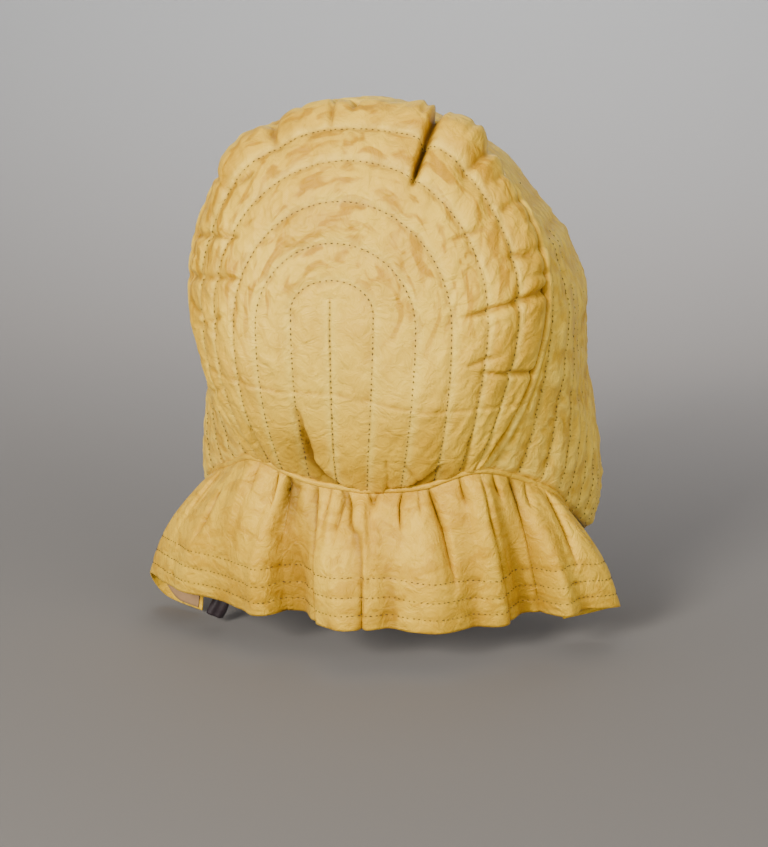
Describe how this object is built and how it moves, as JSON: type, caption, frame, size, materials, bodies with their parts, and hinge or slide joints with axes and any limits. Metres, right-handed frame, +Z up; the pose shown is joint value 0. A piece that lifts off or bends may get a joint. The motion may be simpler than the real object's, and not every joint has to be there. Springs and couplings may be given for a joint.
{
  "type": "quilted hood",
  "caption": "Quilted winter hood with a domed crown, a deep headpiece and a gathered curtain that covers the neck.",
  "frame": {"origin": "where the top of the wearer's head meets the inside of the hood", "axes": "+Z up out of the top of the head, -Y the way the wearer faces, +X the wearer's left"},
  "size_m": [0.2964, 0.2074, 0.3155],
  "materials": {
    "silk": "satin",
    "lining": "matt",
    "ribbon": "satin",
    "thread": "matt"
  },
  "bodies": {
    "root": {"crown_panel": "silk", "crown_base": "silk", "headpiece": "silk", "neck_piping": "silk", "curtain": "silk", "curtain_lining": "lining", "ribbon_end": "ribbon"}
  },
  "joints": []
}
